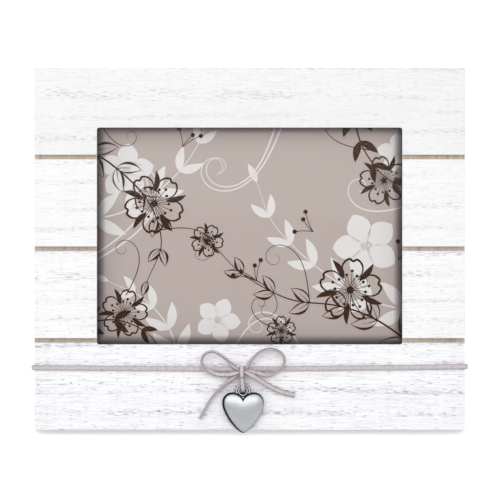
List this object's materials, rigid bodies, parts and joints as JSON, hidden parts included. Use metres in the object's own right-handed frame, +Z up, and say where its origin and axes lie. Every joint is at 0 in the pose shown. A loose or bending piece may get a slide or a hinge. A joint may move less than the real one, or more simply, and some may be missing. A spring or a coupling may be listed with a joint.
{
  "type": "photo frame",
  "caption": "Landscape plank photo frame in whitewashed wood on an easel leg, with a suede lace tied in a bow round it and a cast metal heart hanging from the knot.",
  "frame": {"origin": "on the table under the middle of the standing frame's box, the loose bow not counted", "axes": "+X to the right as seen from the front, +Y from the front towards the easel leg, +Z up"},
  "size_m": [0.2464, 0.0926, 0.2029],
  "materials": {
    "whitewash": "brushed white wash, matte",
    "raw_wood": "sawn, unfinished",
    "clear_glass": "polished",
    "printed_card": "satin print",
    "corrugated_pad": "matte",
    "black_hardboard": "black film, matte",
    "plated_steel": "bright zinc plate",
    "suede_lace": "faux suede nap",
    "cast_pewter": "antique polished casting"
  },
  "bodies": {
    "frame": {"plank_bottom": "whitewash", "plank_lower_left": "whitewash", "plank_lower_right": "whitewash", "plank_upper_left": "whitewash", "plank_upper_right": "whitewash", "plank_top": "whitewash", "rail_top": "raw_wood", "rail_bottom": "raw_wood", "stile_left": "raw_wood", "stile_right": "raw_wood", "glass": "clear_glass", "card": "printed_card", "pad": "corrugated_pad", "back_board": "black_hardboard", "hinge_leaf_board": "plated_steel", "hinge_pin": "plated_steel", "rivet_board_left": "plated_steel", "rivet_board_right": "plated_steel", "screw_top_left": "plated_steel", "screw_top_right": "plated_steel", "screw_bottom_left": "plated_steel", "screw_bottom_right": "plated_steel", "screw_left": "plated_steel", "screw_right": "plated_steel", "staple_corner_top_left": "plated_steel", "staple_corner_top_right": "plated_steel", "staple_corner_bottom_left": "plated_steel", "staple_corner_bottom_right": "plated_steel", "staple_lace_left": "plated_steel", "staple_lace_right": "plated_steel", "hanger_plate": "plated_steel", "hanger_nail_left": "plated_steel", "hanger_nail_right": "plated_steel", "lace_band": "suede_lace", "bow_lace": "suede_lace", "bow_strap": "suede_lace"},
    "leg": {"leg_board": "black_hardboard", "hinge_leaf_leg": "plated_steel", "rivet_leg_left": "plated_steel", "rivet_leg_right": "plated_steel"},
    "button_top_left": {"button_top_left": "plated_steel"},
    "button_top_right": {"button_top_right": "plated_steel"},
    "button_bottom_left": {"button_bottom_left": "plated_steel"},
    "button_bottom_right": {"button_bottom_right": "plated_steel"},
    "button_left": {"button_left": "plated_steel"},
    "button_right": {"button_right": "plated_steel"},
    "heart_lace": {"heart_lace": "suede_lace"},
    "heart": {"heart": "cast_pewter"}
  },
  "joints": [
    {"name": "leg_fold", "type": "hinge", "parent": "frame", "child": "leg", "pos_m": [0, 0.01433, 0.14553], "axis": [1, 0, 0], "range_deg": [-26, 0]},
    {"name": "button_top_left_turn", "type": "hinge", "parent": "frame", "child": "button_top_left", "pos_m": [-0.062, 0.02047, 0.17646], "axis": [0, 0.9703, -0.2419], "continuous": true},
    {"name": "button_top_right_turn", "type": "hinge", "parent": "frame", "child": "button_top_right", "pos_m": [0.062, 0.02047, 0.17646], "axis": [0, 0.9703, -0.2419], "continuous": true},
    {"name": "button_bottom_left_turn", "type": "hinge", "parent": "frame", "child": "button_bottom_left", "pos_m": [-0.062, -0.01461, 0.03577], "axis": [0, 0.9703, -0.2419], "continuous": true},
    {"name": "button_bottom_right_turn", "type": "hinge", "parent": "frame", "child": "button_bottom_right", "pos_m": [0.062, -0.01461, 0.03577], "axis": [0, 0.9703, -0.2419], "continuous": true},
    {"name": "button_left_turn", "type": "hinge", "parent": "frame", "child": "button_left", "pos_m": [-0.0975, 0.00293, 0.10611], "axis": [0, 0.9703, -0.2419], "continuous": true},
    {"name": "button_right_turn", "type": "hinge", "parent": "frame", "child": "button_right", "pos_m": [0.0975, 0.00293, 0.10611], "axis": [0, 0.9703, -0.2419], "continuous": true},
    {"name": "heart_lift", "type": "hinge", "parent": "frame", "child": "heart_lace", "pos_m": [-0.0044, -0.04041, 0.03416], "axis": [-1, 0, 0], "range_deg": [0, 75]},
    {"name": "heart_sway", "type": "hinge", "parent": "heart_lace", "child": "heart", "pos_m": [-0.0037, -0.03935, 0.02643], "axis": [0, -0.9703, 0.2419], "range_deg": [-15, 15]}
  ]
}
